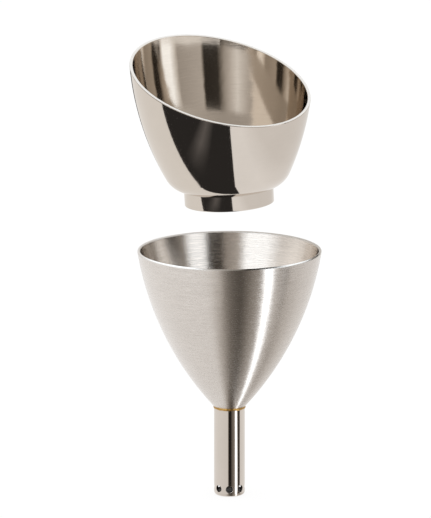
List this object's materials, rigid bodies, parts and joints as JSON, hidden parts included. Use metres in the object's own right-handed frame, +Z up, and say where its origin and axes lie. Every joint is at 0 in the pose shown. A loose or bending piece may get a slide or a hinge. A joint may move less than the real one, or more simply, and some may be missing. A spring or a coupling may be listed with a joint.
{
  "type": "decanting funnel with drip cup",
  "caption": "Steel decanting funnel with a curved cone and a closed spout that pours from holes in its side, with its slant-rimmed drip cup held above the mouth.",
  "frame": {"origin": "on the spout's axis, at the shoulder where the spout meets the cone", "axes": "+Z up along the spout's axis, towards the mouth; +X to the right and +Y away from the front, where the cup's rim is lowest at the front right"},
  "size_m": [0.0956, 0.0918, 0.2265],
  "materials": {
    "brushed_steel": "fine circular brushing, satin",
    "polished_steel": "mirror polish",
    "brass": "bare braze metal"
  },
  "bodies": {
    "funnel": {"funnel_cone": "brushed_steel", "spout_tube": "polished_steel", "spout_end_cap": "polished_steel", "braze_ring": "brass"},
    "cup": {"cup_bowl": "polished_steel", "cup_foot": "polished_steel"}
  },
  "joints": [
    {"name": "cup_lift", "type": "slide", "parent": "funnel", "child": "cup", "axis": [0, 0, 1], "range_m": [0, 0.05]}
  ]
}
